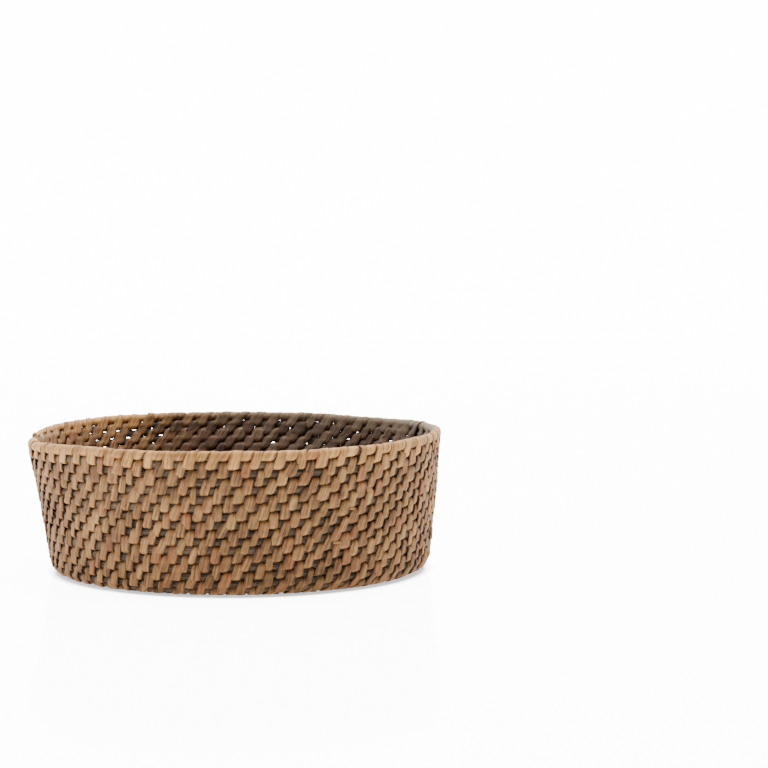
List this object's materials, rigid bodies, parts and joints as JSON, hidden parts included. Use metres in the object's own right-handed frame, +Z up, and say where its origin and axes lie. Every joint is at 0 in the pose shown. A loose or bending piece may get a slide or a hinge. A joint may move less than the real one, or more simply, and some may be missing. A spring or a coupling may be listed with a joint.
{
  "type": "cheese mold",
  "caption": "Round, low, open basket of coiled root work: round root rods sewn turn to turn with flat split-root strands, with a flat base, a leaning wall and a wrapped rim.",
  "frame": {"origin": "middle of the underside's plane, under the middle of the rim", "axes": "+Z up through the open mouth; -X to the side where the rim's last turn ends; +X to the side where the wall is steepest; -Y is the front"},
  "size_m": [0.2503, 0.2507, 0.0858],
  "materials": {
    "base_root": "matte",
    "wall_root": "matte",
    "base_strand": "matte",
    "wall_strand": "matte",
    "rim_strand": "matte"
  },
  "bodies": {
    "root": {"base_rod_1": "base_root", "base_rod_2": "base_root", "base_rod_3": "base_root", "base_rod_4": "base_root", "base_rod_5": "base_root", "base_rod_6": "base_root", "base_rod_7": "base_root", "base_rod_8": "base_root", "base_strand_1": "base_strand", "base_strand_2": "base_strand", "base_strand_3": "base_strand", "base_strand_4": "base_strand", "base_strand_5": "base_strand", "base_strand_6": "base_strand", "base_strand_7": "base_strand", "foot_strand": "base_strand", "wall_rod_01": "wall_root", "wall_rod_02": "wall_root", "wall_rod_03": "wall_root", "wall_rod_04": "wall_root", "wall_rod_05": "wall_root", "wall_rod_06": "wall_root", "wall_rod_07": "wall_root", "wall_rod_08": "wall_root", "wall_rod_09": "wall_root", "wall_rod_10": "wall_root", "wall_rod_11": "wall_root", "wall_rod_12": "wall_root", "wall_rod_13": "wall_root", "wall_rod_14": "wall_root", "wall_rod_15": "wall_root", "wall_rod_16": "wall_root", "wall_rod_17": "wall_root", "wall_strand_01": "wall_strand", "wall_strand_02": "wall_strand", "wall_strand_03": "wall_strand", "wall_strand_04": "wall_strand", "wall_strand_05": "wall_strand", "wall_strand_06": "wall_strand", "wall_strand_07": "wall_strand", "wall_strand_08": "wall_strand", "wall_strand_09": "wall_strand", "wall_strand_10": "wall_strand", "wall_strand_11": "wall_strand", "wall_strand_12": "wall_strand", "wall_strand_13": "wall_strand", "wall_strand_14": "wall_strand", "wall_strand_15": "wall_strand", "wall_strand_16": "wall_strand", "rim_strand": "rim_strand"}
  },
  "joints": []
}
